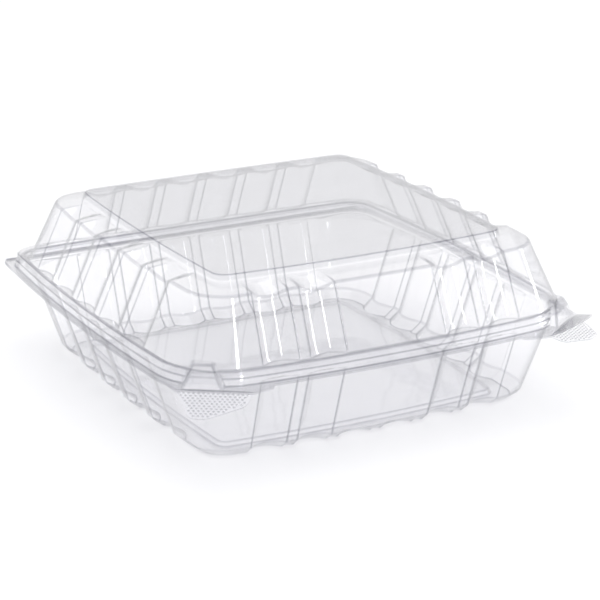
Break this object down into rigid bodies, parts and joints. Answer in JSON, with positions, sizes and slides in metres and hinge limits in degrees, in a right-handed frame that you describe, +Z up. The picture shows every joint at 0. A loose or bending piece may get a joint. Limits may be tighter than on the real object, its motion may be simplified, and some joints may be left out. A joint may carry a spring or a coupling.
{
  "type": "hinged clamshell food pack",
  "caption": "Clear square hinged clamshell pack with a fluted base tray and a fluted domed lid, closed and empty, with corner tabs at the front.",
  "frame": {"origin": "On the surface that the pack stands on, under the middle of its bounding box.", "axes": "+X to the right, +Y to the back where the fold is, +Z up. The front with the two corner tabs faces -Y."},
  "size_m": [0.21, 0.2192, 0.0796],
  "materials": {
    "clear_sheet": "clear, smooth and shiny"
  },
  "bodies": {
    "base": {"base_tray": "clear_sheet"},
    "lid": {"lid_dome": "clear_sheet"}
  },
  "joints": [
    {"name": "lid_hinge", "type": "hinge", "parent": "base", "child": "lid", "pos_m": [0, 0.10905, 0.03965], "axis": [-1, 0, 0], "range_deg": [0, 180]}
  ]
}
